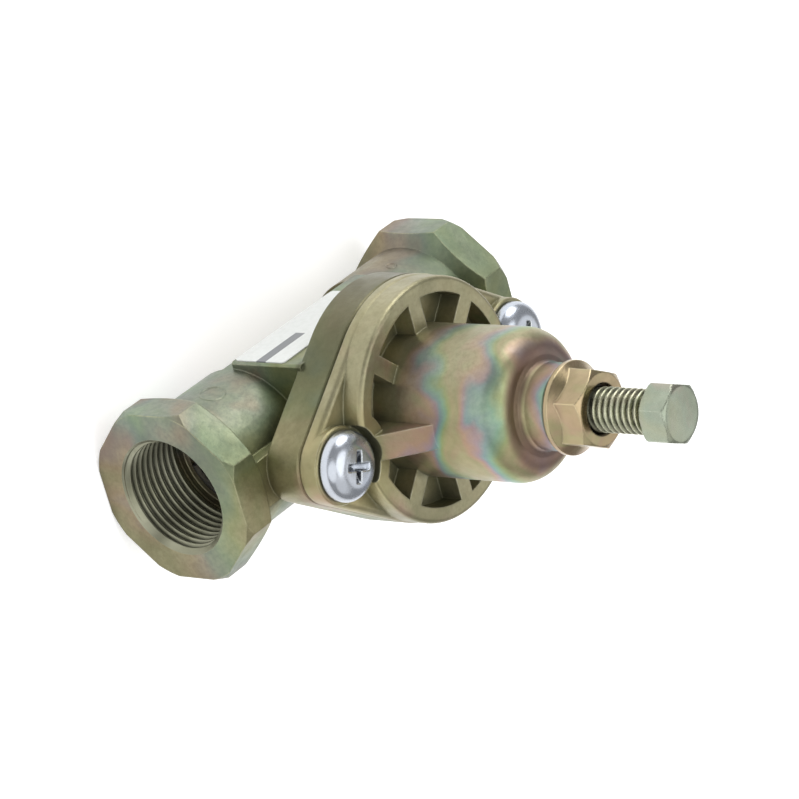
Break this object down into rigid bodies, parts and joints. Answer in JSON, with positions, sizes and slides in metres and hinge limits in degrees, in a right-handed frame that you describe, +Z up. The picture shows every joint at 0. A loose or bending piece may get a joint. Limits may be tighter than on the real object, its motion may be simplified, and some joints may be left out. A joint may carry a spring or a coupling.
{
  "type": "flow control valve",
  "caption": "Inline pressure-actuated flow control valve with threaded ports, sprung diaphragm bonnet, adjusting screw and lock nut.",
  "frame": {"origin": "on the ground under the bonnet axis: the plane of the two ends' lower wrench flats", "axes": "+Z up along the bonnet axis, towards the adjusting screw's head; X along the port axis, port 1 towards -X and port 2 towards +X; +Y towards the label"},
  "size_m": [0.0832, 0.0446, 0.0976],
  "materials": {
    "cast_body": "die-cast, olive chromate passivation",
    "cast_bonnet": "die-cast, iridescent chromate passivation",
    "brass": "turned",
    "seal_rubber": "matt",
    "diaphragm_rubber": "fabric-reinforced, matt",
    "turned_aluminium": "turned",
    "pressed_steel": "zinc plated",
    "spring_steel": "drawn wire, phosphated",
    "yellow_zinc": "yellow-passivated zinc",
    "gold_zinc": "gold-passivated zinc",
    "bright_zinc": "bright blue-passivated zinc",
    "label_film": "white film, no print"
  },
  "bodies": {
    "valve_body": {"housing": "cast_body", "bonnet": "cast_bonnet", "seat_bush": "brass", "seat_o_ring": "seal_rubber", "cover_screw_port_1": "bright_zinc", "cover_screw_port_2": "bright_zinc", "return_valve_guide": "turned_aluminium", "retaining_ring": "spring_steel", "label": "label_film", "diaphragm": "diaphragm_rubber", "main_spring": "spring_steel", "inner_spring": "spring_steel", "return_valve_spring": "spring_steel"},
    "diaphragm_pack": {"valve_pad": "seal_rubber", "valve_cup": "turned_aluminium", "spring_plate": "pressed_steel", "stem_rivet": "pressed_steel"},
    "spring_seat": {"upper_spring_seat": "pressed_steel"},
    "screw": {"adjusting_screw": "yellow_zinc"},
    "nut": {"lock_nut": "gold_zinc"},
    "return_valve": {"return_valve_disc": "turned_aluminium", "return_valve_seal": "seal_rubber"}
  },
  "joints": [
    {"name": "spring_seat_slide", "type": "slide", "parent": "valve_body", "child": "spring_seat", "axis": [0, 0, 1], "range_m": [-0.005, 0.00187], "deforming": ["main_spring", "inner_spring"]},
    {"name": "adjusting_screw_turn", "type": "hinge", "parent": "spring_seat", "child": "screw", "pos_m": [0, 0, 0.076], "axis": [0, 0, 1], "range_deg": [-1441, 541]},
    {"name": "lock_nut_turn", "type": "hinge", "parent": "valve_body", "child": "nut", "pos_m": [0, 0, 0.078], "axis": [0, 0, 1], "range_deg": [0, 180]},
    {"name": "diaphragm_lift", "type": "slide", "parent": "valve_body", "child": "diaphragm_pack", "axis": [0, 0, 1], "range_m": [0, 0.0022], "stiffness_N_per_m": 500, "springref_m": -0.004, "deforming": ["main_spring", "inner_spring", "diaphragm"]},
    {"name": "return_valve_slide", "type": "slide", "parent": "valve_body", "child": "return_valve", "axis": [-1, 0, 0], "range_m": [0, 0.0016], "stiffness_N_per_m": 100, "springref_m": -0.003, "deforming": ["return_valve_spring"]}
  ],
  "couplings": [
    {"joint": "adjusting_screw_turn", "follows": "spring_seat_slide", "rad_per_m": 5026.5}
  ]
}
